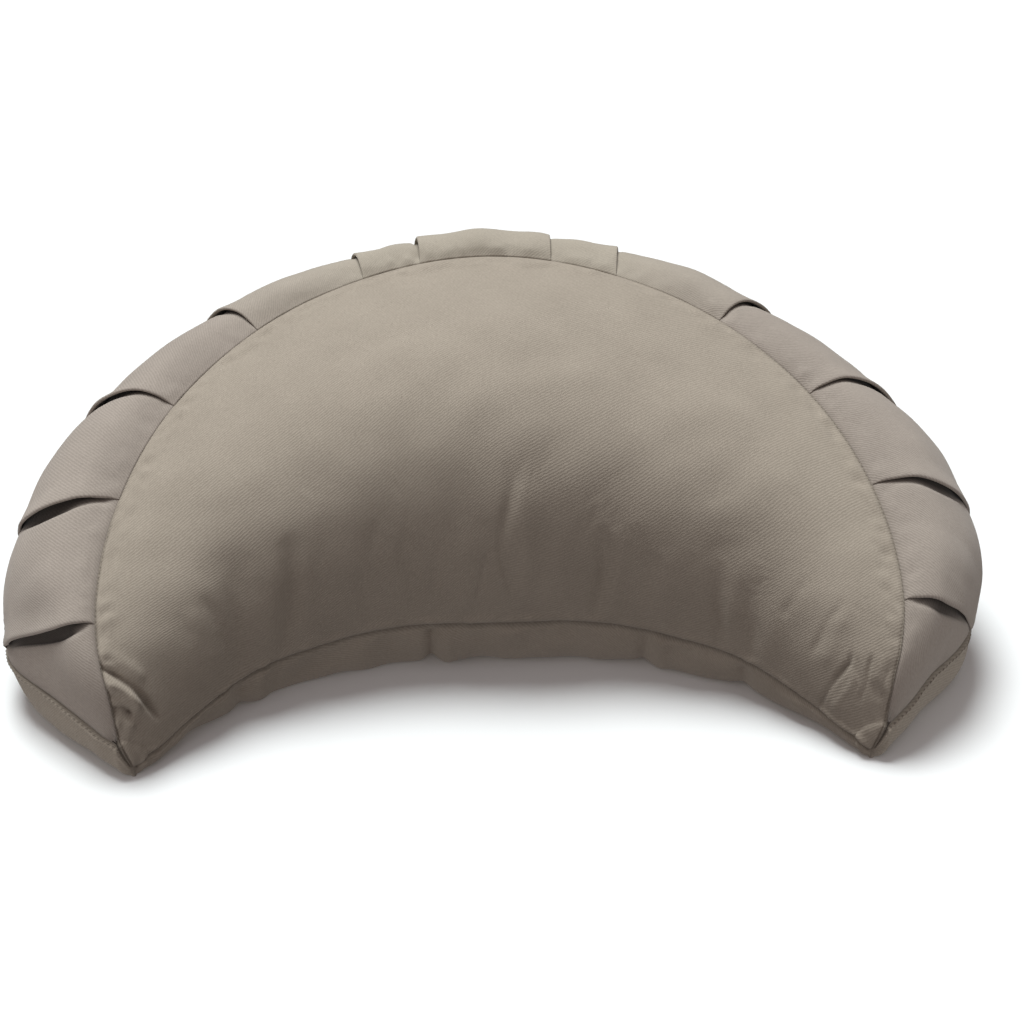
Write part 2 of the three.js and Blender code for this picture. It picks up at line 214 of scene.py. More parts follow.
def twillMaterial(name, cloth):
    material = bpy.data.materials.new(name)
    material.use_nodes = True
    tree = material.node_tree
    shader = tree.nodes["Principled BSDF"]
    shader.inputs["Roughness"].default_value = 0.92
    shader.inputs["Specular IOR Level"].default_value = 0.18
    shader.inputs["Sheen Weight"].default_value = 0.12
    shader.inputs["Sheen Roughness"].default_value = 0.55
    math1 = lambda op, a, b=0.0: addNode(tree, "ShaderNodeMath", {"operation": op}, in0=a, in1=b).outputs[0]
    cloth01 = addNode(tree, "ShaderNodeUVMap", {"uv_map": "cloth"}).outputs[0]
    turn = addNode(tree, "ShaderNodeMapping", Vector=cloth01, Rotation=(0, 0, math.radians(cloth["lean"])))
    ribAxes = addNode(tree, "ShaderNodeSeparateXYZ", Vector=turn.outputs[0])
    alongRib, acrossRib = ribAxes.outputs[0], ribAxes.outputs[1]
    # a slow wander keeps the ribs from ruling straight lines
    wander = addNode(tree, "ShaderNodeTexNoise", Vector=cloth01, Scale=0.05, Detail=2.0, Roughness=0.5)
    slub = addNode(tree, "ShaderNodeTexNoise", Vector=cloth01, Scale=0.75, Detail=1.0)
    drift = math1("MULTIPLY", math1("SUBTRACT", wander.outputs["Fac"], 0.5), 1.2)
    drift = math1("ADD", drift, math1("MULTIPLY", math1("SUBTRACT", slub.outputs["Fac"], 0.5), 1.1))
    phase = math1("MULTIPLY", math1("ADD", acrossRib, drift), 2 * math.pi / cloth["rib"])
    rib = math1("MULTIPLY_ADD", math1("SINE", phase), 0.5)
    tree.nodes[-1].inputs[2].default_value = 0.5
    # each float of yarn is a short grain along the rib
    grainAxes = addNode(tree, "ShaderNodeMapping", Vector=turn.outputs[0], Scale=(0.55, 1.5, 1.0))
    grain = addNode(tree, "ShaderNodeTexNoise", Vector=grainAxes.outputs[0], Scale=1.0, Detail=3.0, Roughness=0.65)
    fleckAxes = addNode(tree, "ShaderNodeMapping", Vector=cloth01, Scale=(0.9, 0.28, 1.0))
    fleck = addNode(tree, "ShaderNodeTexNoise", Vector=fleckAxes.outputs[0], Scale=1.0, Detail=2.0, Roughness=0.6)
    mottle = addNode(tree, "ShaderNodeTexNoise", Vector=cloth01, Scale=0.035, Detail=4.0, Roughness=0.6)
    tone = math1("ADD", math1("MULTIPLY", rib, 0.34), math1("MULTIPLY", grain.outputs["Fac"], 0.62))
    tone = math1("ADD", tone, math1("MULTIPLY", fleck.outputs["Fac"], 0.34))
    tone = math1("ADD", tone, math1("MULTIPLY", mottle.outputs["Fac"], 0.42))
    tone = math1("SUBTRACT", tone, 0.36)
    shade = addNode(tree, "ShaderNodeAttribute", {"attribute_name": "shade"})
    colour = addNode(tree, "ShaderNodeMix", {"data_type": "RGBA", "clamp_factor": True}, in0=tone)
    colour.inputs[6].default_value = (*cloth["dark"], 1)
    colour.inputs[7].default_value = (*cloth["light"], 1)
    tinted = {"data_type": "RGBA", "blend_type": "MULTIPLY"}
    if "paleBack" in cloth:
        fromBack = math1("ABSOLUTE", addNode(tree, "ShaderNodeSeparateXYZ", Vector=cloth01).outputs[0])
        middle = addNode(tree, "ShaderNodeMapRange", Value=fromBack, From_Min=110.0, From_Max=260.0, To_Min=1.0, To_Max=0.0)
        colour = addNode(tree, "ShaderNodeMix", tinted, in0=middle.outputs[0], in6=colour.outputs[2])
        colour.inputs[7].default_value = (*cloth["paleBack"], 1)
    # painted shade: the shade attribute darkens the cloth towards near black in the seams, in the folds and under the
    # band
    dim = addNode(tree, "ShaderNodeMix", tinted, in0=shade.outputs["Fac"], in6=colour.outputs[2])
    dim.inputs[7].default_value = (0.06, 0.05, 0.045, 1)  # deep in the seams and folds
    tree.links.new(dim.outputs[2], shader.inputs["Base Color"])
    height = math1("ADD", math1("MULTIPLY", rib, 0.7), math1("MULTIPLY", grain.outputs["Fac"], 0.6))
    bump = addNode(tree, "ShaderNodeBump", Height=height, Strength=0.75, Distance=cloth["relief"])
    tree.links.new(bump.outputs[0], shader.inputs["Normal"])
    return material


def threadMaterial(name, cloth):
    material = bpy.data.materials.new(name)
    material.use_nodes = True
    tree = material.node_tree
    shader = tree.nodes["Principled BSDF"]
    shader.inputs["Roughness"].default_value = 0.75
    place = addNode(tree, "ShaderNodeTexCoord")
    twist = addNode(tree, "ShaderNodeTexNoise", Vector=place.outputs["Object"], Scale=900.0, Detail=2.0)
    colour = addNode(tree, "ShaderNodeMix", {"data_type": "RGBA"}, in0=twist.outputs["Fac"])
    colour.inputs[6].default_value = (*cloth["dark"], 1)
    colour.inputs[7].default_value = (*cloth["light"], 1)
    tree.links.new(colour.outputs[2], shader.inputs["Base Color"])
    return material


panelTwill = twillMaterial("panelTwill", panelCloth)
bandTwill = twillMaterial("bandTwill", bandCloth)
seamThread = threadMaterial("seamThread", threadCloth)
print("materials made")


# top and bottom panels over the filling
panels = {
    "columns": 270,
    "hornColumns": 74,
    "topRows": 112,
    "seatDepth": 6.5,        # how far the covered side lies under the band
    "seamDip": 0.9,          # the top seam draws the panel in
    "hollowDip": 1.3,
    "tipHeight": 3.5,        # the seams meet here, low on each tip
    "lumps": (0.6, 0.3),    # filling under the cloth: broad, then small
    # gathers of the top panel over the hollow: x, lowest share, highest share, height, width
    "gathers": [
        (-129, 0.08, 0.50, -1.6, 6.0), (-119, 0.08, 0.48, 1.2, 6.0), (-111, 0.05, 0.46, 1.7, 5.0),
        (-102, 0.04, 0.46, -2.3, 4.0), (-93, 0.06, 0.40, 0.9, 5.0), (-64, 0.04, 0.34, -1.1, 6.0),
        (-52, 0.04, 0.34, 1.0, 6.0), (-29, 0.03, 0.26, -0.9, 6.0), (-17, 0.03, 0.26, 0.9, 5.0),
        (-6, 0.03, 0.24, -1.6, 3.8), (4.5, 0.09, 0.36, -2.0, 3.2), (13, 0.06, 0.34, 1.9, 5.0),
        (30, 0.04, 0.28, 0.9, 6.0), (51, 0.03, 0.28, -1.9, 3.8), (58, 0.03, 0.30, 1.6, 4.2),
        (72, 0.03, 0.26, -0.9, 4.5), (83, 0.03, 0.30, 1.4, 5.0), (108, 0.05, 0.36, -1.9, 3.4),
        (114, 0.05, 0.38, 1.7, 4.0), (122, 0.04, 0.34, -1.4, 4.0), (131, 0.05, 0.36, 1.1, 5.0),
    ],
    # folds that the seams pull into the horns: height, width, then angle and share along the fold
    "folds": [
        (-3.4, 1.6, [(-98.1, 1.0), (-98.5, 0.93), (-99.0, 0.86), (-99.6, 0.71), (-100.2, 0.51), (-100.2, 0.22)]),
        (1.2, 3.2, [(-96.4, 1.0), (-97.2, 0.88), (-98.0, 0.75), (-98.8, 0.56)]),
        (3.0, 2.3, [(-99.4, 1.0), (-99.8, 0.88), (-100.2, 0.74), (-100.8, 0.54)]),
        (-3.2, 1.3, [(-101.1, 1.0), (-101.0, 0.86), (-101.2, 0.66)]),
        (1.8, 2.0, [(-101.7, 1.0), (-101.6, 0.84), (-101.7, 0.60)]),
        (-0.8, 3.6, [(-89.5, 0.20), (-88.5, 0.38), (-87, 0.56)]),
        (0.7, 4.8, [(-92, 0.20), (-91, 0.40), (-89.5, 0.57)]),
        (-1.5, 1.5, [(97.6, 0.03), (98.1, 0.14), (98.4, 0.36), (98.3, 0.52), (97.2, 0.62)]),
        (0.8, 2.2, [(99.6, 0.12), (99.9, 0.27), (100, 0.43), (99.1, 0.61)]),
        (-1.1, 1.3, [(101.1, 0.50), (100.4, 0.66), (99.1, 0.72), (98.2, 0.77)]),
        (0.5, 2.2, [(101.4, 0.66), (100.8, 0.76), (99.6, 0.82)]),
        (-0.7, 1.2, [(101.5, 0.84), (100.6, 0.89), (99.4, 0.91)]),
        (-0.7, 2.2, [(92.6, 0.66), (93.6, 0.54), (94.6, 0.42), (95, 0.28)]),
        (0.6, 3.2, [(93.8, 0.68), (95, 0.56), (96.2, 0.44), (96.6, 0.30)]),
        (-0.5, 3.0, [(88, 0.56), (89, 0.44), (89.5, 0.32)]),
    ],
    # tucks in the turned-up edge of the bottom panel: x, depth, width
    "tucks": [
        (-128, 2.6, 3.5), (-118, -1.4, 4.0), (-33, 3.2, 3.2), (-25, -1.4, 4.0),
        (73, 2.4, 3.4), (82, -1.2, 4.0), (121, 2.0, 3.4),
    ],
}


def panelSegments(degrees):
    corners = sectionCorners(degrees)
    wide = lambda name: [c[:, None, :] for c in corners[name]]
    rowShare = lambda rows: np.broadcast_to(rows, (len(degrees), len(rows)))
    low, hollow = corners["low"], corners["hollow"]
    lowRound = np.minimum(crescent["lowRound"], 0.4 * (low[:, 0] - hollow[:, 0]))

    def quarter(edge, side, rows, swell):
        turn = np.broadcast_to(np.linspace(0, 0.5 * np.pi, rows), (len(degrees), rows))
        r = edge[:, None, 0] + side * lowRound[:, None] * (1 - np.cos(turn))
        r = r - side * swell[:, None] * np.sin(2 * turn) ** 0.8
        z = edge[:, None, 1] * (1 - np.sin(turn))
        return np.stack([r, z], -1)

    outer = quarter(low, -1, 26, corners["footSwell"])
    strip = quarter(hollow, 1, 20, 0 * lowRound)[:, ::-1]
    inward = np.linspace(0, 1, 12)[None, :, None]
    base = outer[:, -1:, :] * (1 - inward) + strip[:, :1, :] * inward
    top = curvePoint(wide("top"), rowShare(crowded(panels["topRows"], 0.4)))
    under = crowded(14, 0.8)
    depth = panels["seatDepth"] * np.minimum(1, np.minimum(under, 1 - under) / 0.06)
    room = np.clip((crescent["tip"] + 1 - np.abs(degrees)) / 12, 0.12, 1)[:, None]
    share = rowShare(under)
    seat = curvePoint(wide("band"), share) - (room * depth)[..., None] * curveNormal(wide("band"), share)
    return [("base", base), ("strip", strip), ("top", top), ("seat", seat), ("outer", outer)]


def foldShare(points, line):
    # distance to a fold line, and how far along it
    best = np.full(points.shape[:-1], 1e9)
    where = np.zeros(points.shape[:-1])
    lengths = np.linalg.norm(np.diff(line, axis=0), axis=1)
    total, gone = lengths.sum(), 0.0
    for a, b, length in zip(line[:-1], line[1:], lengths):
        f = np.clip(((points - a) @ (b - a)) / length**2, 0, 1)
        d = np.linalg.norm(points - (a + f[..., None] * (b - a)), axis=-1)
        near = d < best
        best = np.where(near, d, best)
        where = np.where(near, (gone + f * length) / total, where)
        gone += length
    return best, where


def seamShare(degrees):
    # how hard the top seam draws in: least at the back, later on the left
    return 0.15 + 0.6 * smooth((np.asarray(degrees) - 22) / 40) + 0.6 * smooth((-np.asarray(degrees) - 62) / 30)


# the top panel is gathered on to the hollow seam: a coarse copy is blown up, and its wrinkles are kept
settling = {
    "columns": 170,
    "everyRow": 2,
    "pressure": 4.0,
    "frames": 20,
    "gathered": 0.11,        # how much longer the cloth is than the seam
    "reach": 60.0,           # mm from the seam where that is spent
    "most": 3.5,             # mm that a point may move
}


def settleCloth(grid, normals, fromHollow):
    pickColumns = np.unique(np.round(np.linspace(0, grid.shape[0] - 1, settling["columns"])).astype(int))
    pickRows = np.unique(np.append(np.arange(0, grid.shape[1], settling["everyRow"]), grid.shape[1] - 1))
    rest, out = grid[np.ix_(pickColumns, pickRows)], normals[np.ix_(pickColumns, pickRows)]
    wide, tall = rest.shape[:2]
    index = np.arange(wide * tall).reshape(wide, tall)
    mesh = bpy.data.meshes.new("settling")
    quads = np.stack([index[:-1, :-1], index[1:, :-1], index[1:, 1:], index[:-1, 1:]], -1).reshape(-1, 4)
    mesh.from_pydata((rest.reshape(-1, 3) * 0.001).tolist(), [], quads.tolist())
    sheet = bpy.data.objects.new("settling", mesh)
    scene.collection.objects.link(sheet)
    held, eased = sheet.vertex_groups.new(name="held"), sheet.vertex_groups.new(name="eased")
    edge = np.ones((wide, tall), bool)
    edge[2:-2, 1:-1] = False
    held.add(index[edge].tolist(), 1.0, "REPLACE")
    spend = np.clip(1 - fromHollow[np.ix_(pickColumns, pickRows)] / settling["reach"], 0, 1)
    for number, weight in enumerate(spend.ravel()):
        eased.add([number], float(weight), "REPLACE")
    cloth = sheet.modifiers.new("settle", "CLOTH")
    setup = cloth.settings
    setup.quality, setup.mass = 6, 0.15
    setup.tension_stiffness = setup.compression_stiffness = 20
    setup.shear_stiffness, setup.bending_stiffness, setup.air_damping = 8, 0.1, 2
    setup.use_pressure, setup.uniform_pressure_force = True, settling["pressure"]
    setup.effector_weights.gravity = 0
    setup.vertex_group_mass, setup.vertex_group_shrink = "held", "eased"
    setup.shrink_min, setup.shrink_max = 0.0, -settling["gathered"]
    cloth.collision_settings.use_collision = False
    for number in range(1, settling["frames"] + 1):
        scene.frame_set(number)
    spots = np.empty(wide * tall * 3, np.float32)
    sheet.evaluated_get(bpy.context.evaluated_depsgraph_get()).data.vertices.foreach_get("co", spots)
    scene.frame_set(1)
    bpy.data.objects.remove(sheet)
    moved = ((spots.reshape(wide, tall, 3) * 1000 - rest) * out).sum(-1)
    broad = moved
    for axis, span in ((0, 41), (1, 13)):
        pad = [(span // 2, span // 2) if k == axis else (0, 0) for k in range(2)]
        mean = lambda line: np.convolve(line, np.ones(span) / span, "valid")
        broad = np.apply_along_axis(mean, axis, np.pad(broad, pad, "edge"))
    fine = np.clip(moved - broad, -settling["most"], settling["most"])
    fine = np.stack([np.interp(np.arange(grid.shape[0]), pickColumns, fine[:, k]) for k in range(tall)], 1)
    fine = np.stack([np.interp(np.arange(grid.shape[1]), pickRows, line) for line in fine])
    print("cloth settled: moved", round(float(np.abs(moved).max()), 1), "mm, wrinkles", round(float(np.abs(fine).max()), 2), "mm")
    return fine


def makePanels():
    tip = crescent["tip"]
    near = tip - (tip - 84) * np.linspace(1, 0, panels["hornColumns"]) ** 1.3
    wide = np.linspace(-84, 84, panels["columns"])[1:-1]
    body = np.concatenate([-near[::-1], wide, near])
    segments = panelSegments(body)
    # each tip is rounded off on to the seam that runs round it
    past = [(0.33, 0.97), (0.60, 0.89), (0.80, 0.77), (0.94, 0.61), (1.02, 0.42), (1.05, 0.21)]
    closing = []
    for name, part in segments:
        ends = []
        for column in (0, -1):
            mid = np.array([0.5 * (segments[0][1][column, 0, 0] + segments[0][1][column, -1, 0]), panels["tipHeight"]])
            ends.append([mid + size * (part[column] - mid) for _, size in past])
        closing.append((name, np.concatenate([np.array(ends[0][::-1]), part, np.array(ends[1])])))
    degrees = np.concatenate([[-tip - p for p, _ in past[::-1]], body, [tip + p for p, _ in past]])
    rows, owner = [], []
    for name, part in closing:
        rows.append(part[:, :-1])
        owner += [name] * (part.shape[1] - 1)
    section = np.concatenate(rows, axis=1)
    grid = atAngle(degrees[:, None], section)
    normals = gridNormals(grid)
    owner = np.array(owner)
    topRows = np.where(owner == "top")[0]
    stripRows = np.where(owner == "strip")[0]
    outerRows = np.where(owner == "outer")[0]
    cols = len(degrees)
    step = np.linalg.norm(np.diff(grid, axis=1), axis=-1)
    run = np.concatenate([np.zeros((cols, 1)), np.cumsum(step, axis=1)], axis=1)
    fromHollow = run - run[:, topRows[:1]]
    fromSeam = run - run[:, topRows[-1:] + 1]
    fromLow = run - run[:, outerRows[:1]]
    topShare = np.zeros(len(owner))
    topShare[topRows] = crowded(panels["topRows"], 0.4)[:-1]
    onTop = (owner == "top")[None, :]
    onStrip = (owner == "strip")[None, :]
    onOuter = (owner == "outer")[None, :]
    fade = smooth((tip + 2 - np.abs(degrees)) / 5)[:, None]
    lift, creaseShade = np.zeros(grid.shape[:2]), np.zeros(grid.shape[:2])
    # filling under the cloth, held flat at the seams
    held = smooth(np.abs(fromHollow) / 14) * smooth(np.abs(fromSeam) / 12)
    lumps = panels["lumps"][0] * softNoise(grid, 95, 3) + panels["lumps"][1] * softNoise(grid, 34, 5)
    lift += onTop * held * fade * lumps
    x = grid[..., 0]
    for at, lowest, highest, height, width in panels["gathers"]:
        wander = 1.6 * softNoise(grid[..., 2:3] + at, 70, int(abs(at)) + 11)
        span = np.clip((topShare[None, :] - 0.4 * lowest) / (highest - 0.4 * lowest), 0, 1)
        lift += onTop * 0.95 * height * bell(x + wander - at, width) * np.sin(np.pi * span**0.85) ** 0.9
    topCorners = lambda spots: sectionCorners(np.array([a for a, _ in spots], float))["top"]
    for height, width, spots in panels["folds"]:
        line = atAngle(np.array([a for a, _ in spots]), curvePoint(topCorners(spots), np.array([t for _, t in spots])))
        apart, where = foldShare(grid, line)
        taper = smooth((1.02 - where) / 0.25) * (0.75 + 0.25 * np.cos(9 * where)) * (0.45 + 0.55 * smooth(where / 0.16))
        lift += onTop * height * bell(apart, width) * taper
        # the deepest folds get painted shade along their creases
        if height < -1.2:
            creaseShade += onTop * 0.3 * bell(apart, 0.55 * width) * taper
    for at, depth, width in panels["tucks"]:
        lift -= onStrip * depth * bell(x - at, width) * smooth(np.abs(fromHollow) / 5)
    lift += onStrip * 0.7 * softNoise(grid, 30, 21) * smooth(np.abs(fromHollow) / 6)
    # seams: the panels dip into each one, with small puckers between the stitches
    pucker = 0.35 * softNoise(grid, 13, 31) + 0.2 * softNoise(grid, 7, 33)
    seamPull = seamShare(degrees)[:, None]
    lift -= panels["seamDip"] * seamPull * bell(fromSeam, 1.2) * onTop
    lift += onTop * pucker * bell(fromSeam + 5, 5)
    lift -= panels["hollowDip"] * bell(fromHollow, 1.3) * (onTop | onStrip)
    lift += onTop * (0.55 + pucker) * bell(fromHollow - 3.2, 2.0)
    lift += onStrip * pucker * bell(fromHollow + 4, 4)
    lift -= onOuter * 1.3 * bell(fromLow, 1.0)
    lift += onOuter * (0.95 + 0.5 * pucker) * bell(fromLow - 2.3, 1.35)
    lift -= onOuter * 0.45 * bell(fromLow - 4.9, 0.8)
    grid = grid + normals * lift[..., None]
    span = slice(topRows[0], topRows[-1] + 2)
    grid[:, span] += normals[:, span] * settleCloth(grid[:, span], normals[:, span], fromHollow[:, span])[..., None]
    grid[..., 2] = np.maximum(grid[..., 2], 0.0)
    grid[:, owner == "base", 2] = 0.0
    # painted shade along the seams, over the seat hidden under the band, and in the deepest fold creases
    onSeat = (owner == "seat")[None, :]
    shade = 0.35 * seamPull * bell(fromSeam, 0.7) * (onTop | onSeat) + 0.35 * bell(fromHollow, 0.7) * (onTop | onStrip)
    shade = shade + 0.35 * bell(fromLow, 0.7) * onOuter + onSeat * (1 - bell(fromSeam, 1.2))
    shade = np.clip(shade + creaseShade, 0, 1)

    # the cloth's own plane: across the cushion, and along the cut
    lowUv, highUv = [], []
    for name, part in closing:
        flat = atAngle(degrees[:, None], part)
        hop = np.diff(flat, axis=1)
        length = np.sqrt(hop[..., 1] ** 2 + hop[..., 2] ** 2)
        away = np.concatenate([np.zeros((cols, 1)), np.cumsum(length, axis=1)], axis=1)
        if name == "top":
            seamRun = np.hypot(np.diff(flat[:, -1, 1]), np.diff(flat[:, -1, 2]))
            seamRun = np.concatenate([[0], np.cumsum(seamRun)])
            first, last = np.where(degrees > -84)[0][0], np.where(degrees < 84)[0][-1]
            leftV = flat[first, -1, 1] - (seamRun[first] - seamRun)
            rightV = flat[last, -1, 1] - (seamRun - seamRun[last])
            seamV = np.where(degrees < 0, leftV, rightV)
            seamV = np.where(np.abs(degrees) < 84, flat[:, -1, 1], seamV)
            v = seamV[:, None] - (away[:, -1:] - away)
        elif name == "strip":
            v = flat[:, :1, 1] - away
        elif name == "outer":
            v = flat[:, -1:, 1] + (away[:, -1:] - away)
        else:
            v = flat[..., 1]
        uv = np.stack([flat[..., 0], v], -1)
        for ends, last in ((range(len(past)), len(past)), (range(cols - len(past), cols), cols - len(past) - 1)):
            for k in ends:
                uv[k] = uv[last] - np.stack([0 * v[k], np.linalg.norm(flat[k] - flat[last], axis=-1)], -1)
        lowUv.append(uv[:, :-1])
        highUv.append(uv[:, 1:])
    lowUv, highUv = np.concatenate(lowUv, 1), np.concatenate(highUv, 1)

    rowCount = len(owner)
    index = np.arange(cols * rowCount).reshape(cols, rowCount)
    following = np.roll(index, -1, 1)
    quads = np.stack([index[:-1], index[1:], following[1:], following[:-1]], -1).reshape(-1, 4)
    quadUv = np.stack([lowUv[:-1], lowUv[1:], highUv[1:], highUv[:-1]], 2).reshape(-1, 2)
    verts = grid.reshape(-1, 3)
    faces = quads.tolist()
    uvs = [quadUv]
    ends = []
    for column, flip in ((0, False), (cols - 1, True)):
        ends.append(grid[column].mean(0))
        centre = cols * rowCount + len(ends) - 1
        for k in range(rowCount):
            a, b = int(index[column, k]), int(following[column, k])
            faces.append([centre, b, a] if flip else [centre, a, b])
            pair = [highUv[column, k], lowUv[column, k]] if flip else [lowUv[column, k], highUv[column, k]]
            uvs.append(np.array([0.5 * (pair[0] + pair[1]), *pair]))
    verts = np.concatenate([verts, ends])
    # the two cap centres get a little painted shade
    shade = np.concatenate([shade.ravel(), [0.3, 0.3]])
    piece = meshObject("cushionPanels", verts, faces, np.concatenate(uvs), shade, panelTwill)
    work = bmesh.new()
    work.from_mesh(piece.data)
    bmesh.ops.recalc_face_normals(work, faces=work.faces)
    work.to_mesh(piece.data)
    work.free()
    seamOut = normals[:, topRows[-1]]
    lines = {
        "seam": (grid[:, topRows[-1] + 1] - seamOut * np.clip(0.7 - seamPull, 0, 0.6), seamOut),
        "hollow": (grid[:, topRows[0]], normals[:, topRows[0]]),
    }
    nearLow = outerRows[0] + 1
    lines["low"] = (grid[:, nearLow], normals[:, nearLow])
    return piece, {name: (spots[4:-4], ways[4:-4]) for name, (spots, ways) in lines.items()}


cushionPanels, seamLines = makePanels()
print("panels made:", len(cushionPanels.data.polygons), "faces")


# the pleated band: one strip folded into twelve knife pleats
pleats = {
    "cloth": 0.65,
    "foldDepth": 13.0,
    "swell": 0.027,
    "recover": 2.4,          # how soon a panel rises again outside a fold
    # how far the filled band stands out: angle, then mm
    "stand": ([-102.3, -96, -90, -84, -76, -60, -45, -28, -14, 14, 28, 45, 56, 76, 83, 89, 94, 102.3],
              [0, 1.2, 1.4, 0.8, 3.8, 3.7, 2.6, 2.0, 0, 0, 2.1, 1.4, 3.6, 4.4, 1.8, 4.2, 2.6, 0]),
    "rows": 60,
    "end": 102.3,
    "seamDip": 1.3,
    # one row a pleat, from the back to the tip: angle, lean, foot, gape, roll, share of the width where the mouth shuts
    "right": [(9.9, -1.4, 0, 0.7, 0.1, 0.6), (20.2, -2.6, 0, 1.2, 0.12, 0.6), (37.8, 0.9, 5, 1.9, 0.12, 0.58),
              (56.6, 2.8, -0.7, 1.9, 0.15, 0.56), (74.9, 3.3, -9, 2.6, 0.15, 0.56), (92.4, 0.8, -7.9, 3.6, 0.15, 0.85)],
    "left": [(10, -1.0, 0, 3.4, 0.3, 0.64), (19.1, -1.1, -3, 1.6, 0.15, 0.6), (37.8, 0.9, -1, 2.2, 0.12, 0.58),
             (56.3, 2.1, 0, 2.5, 0.15, 0.58), (74.6, 4.2, -10, 4.4, 0.15, 0.6), (93, 1.0, -9.6, 6.2, 0.15, 0.98)],
}


def halfPath(rows, s, radius):
    # the cloth's middle line across one half, from the back to the tip: angle, height, and painted shade inside a fold
    # and just past its lip
    cloth, opening = pleats["cloth"], math.sin(math.pi * min(1, max(0, s))) ** 0.75
    gap = 0.06 + 0.08 * opening
    level = cloth + gap
    low = -cloth - gap
    path = []
    start, sink, dark = 0.0, 0.0, 0.0
    for number, (angle, lean, foot, gape, roll, shutBy) in enumerate(rows):
        lip = angle + lean * math.sin(math.pi * s) + foot * s * s
        mouth = math.sin(math.pi * min(1.0, s / shutBy) ** 1.35)
        lift, bend = 0.5 * gape * mouth, 0.5 * level + roll * opening
        perMm = 180 / math.pi / radius(lip, s)
        middle = low + level
        lipTop = middle + lift + 2 * bend
        span = (lip - start) / perMm
        depth = min(pleats["foldDepth"], 0.45 * span)
        rampEnd = lip - depth * perMm
        arch = pleats["swell"] * span * opening
        for k in range(20):
            f = (k / 20) ** 1.5
            rest = smooth(f) if number else 1.0
            sag = sink * (1 - smooth(f * (span - depth) / pleats["recover"]))
            bulge = math.sin(math.pi * f) if number else 2.4 + 0.25 * math.cos(0.5 * math.pi * f)
            # painted shadow under the previous lip, fading as the panel rises
            shadow = dark * (1 - smooth(f * (span - depth) / (0.3 + 0.8 * sink)))
            path.append((start + (rampEnd - start) * f, low - sag + 2 * level * rest + arch * bulge, shadow))
        for k in range(7):
            f = k / 7
            kept = 0.0 if number else 2.4 * arch
            rise = (lipTop - low - 2 * level) * f * f + kept * (1 - f * f)
            path.append((rampEnd + (lip - bend * perMm - rampEnd) * f, low + 2 * level + rise, 0.0))
        for k in range(7):
            turn = math.pi * (0.5 - k / 6)
            rolled = bend + bend * math.sin(turn)
            path.append((lip - bend * perMm + bend * perMm * math.cos(turn), middle + lift + rolled, 0.0))
        for k in range(1, 6):
            f = k / 6
            back = bend + (depth - bend - 0.5 * level) * f
            path.append((lip - back * perMm, middle + lift * (1 - f) ** 2.2, smooth(4 * f)))
        inner = lip - (depth - 0.5 * level) * perMm
        for k in range(5):
            turn = math.pi * (0.5 - k / 4)
            path.append((inner - 0.5 * level * perMm * math.cos(turn), low + 0.5 * level * (1 + math.sin(turn)), 1.0))
        # painted shade carried from the fold out past the lip on to the next panel, more where the mouth gapes
        sink = 0.5 * gape * mouth
        dark = min(1.0, 0.5 * sink)
        out = lip + (0.9 + 0.3 * gape * mouth) * perMm
        for k in range(1, 10):
            f = k / 10
            shadow = 1 - (1 - dark) * smooth((f - 0.80) / 0.2)
            path.append((inner + (out - inner) * f, low - sink * smooth(f * 1.2), shadow))
        start = out
    endAngle = pleats["end"]
    for k in range(17):
        f = (k / 16) ** 1.4
        sag = sink * (1 - smooth(f * (endAngle - start) / perMm / pleats["recover"]))
        shadow = dark * (1 - smooth(f * (endAngle - start) / perMm / (0.3 + 0.8 * sink)))
        bulge = (0.5 * level + 1.5 * opening) * math.sin(math.pi * f)
        path.append((start + (endAngle - start) * f, low - sag + bulge, shadow))
    return path


def bandSurface(degrees, s):
    corners = sectionCorners(degrees)["band"]
    share = np.full(len(degrees), s)
    return curvePoint(corners, share), curveNormal(corners, share)


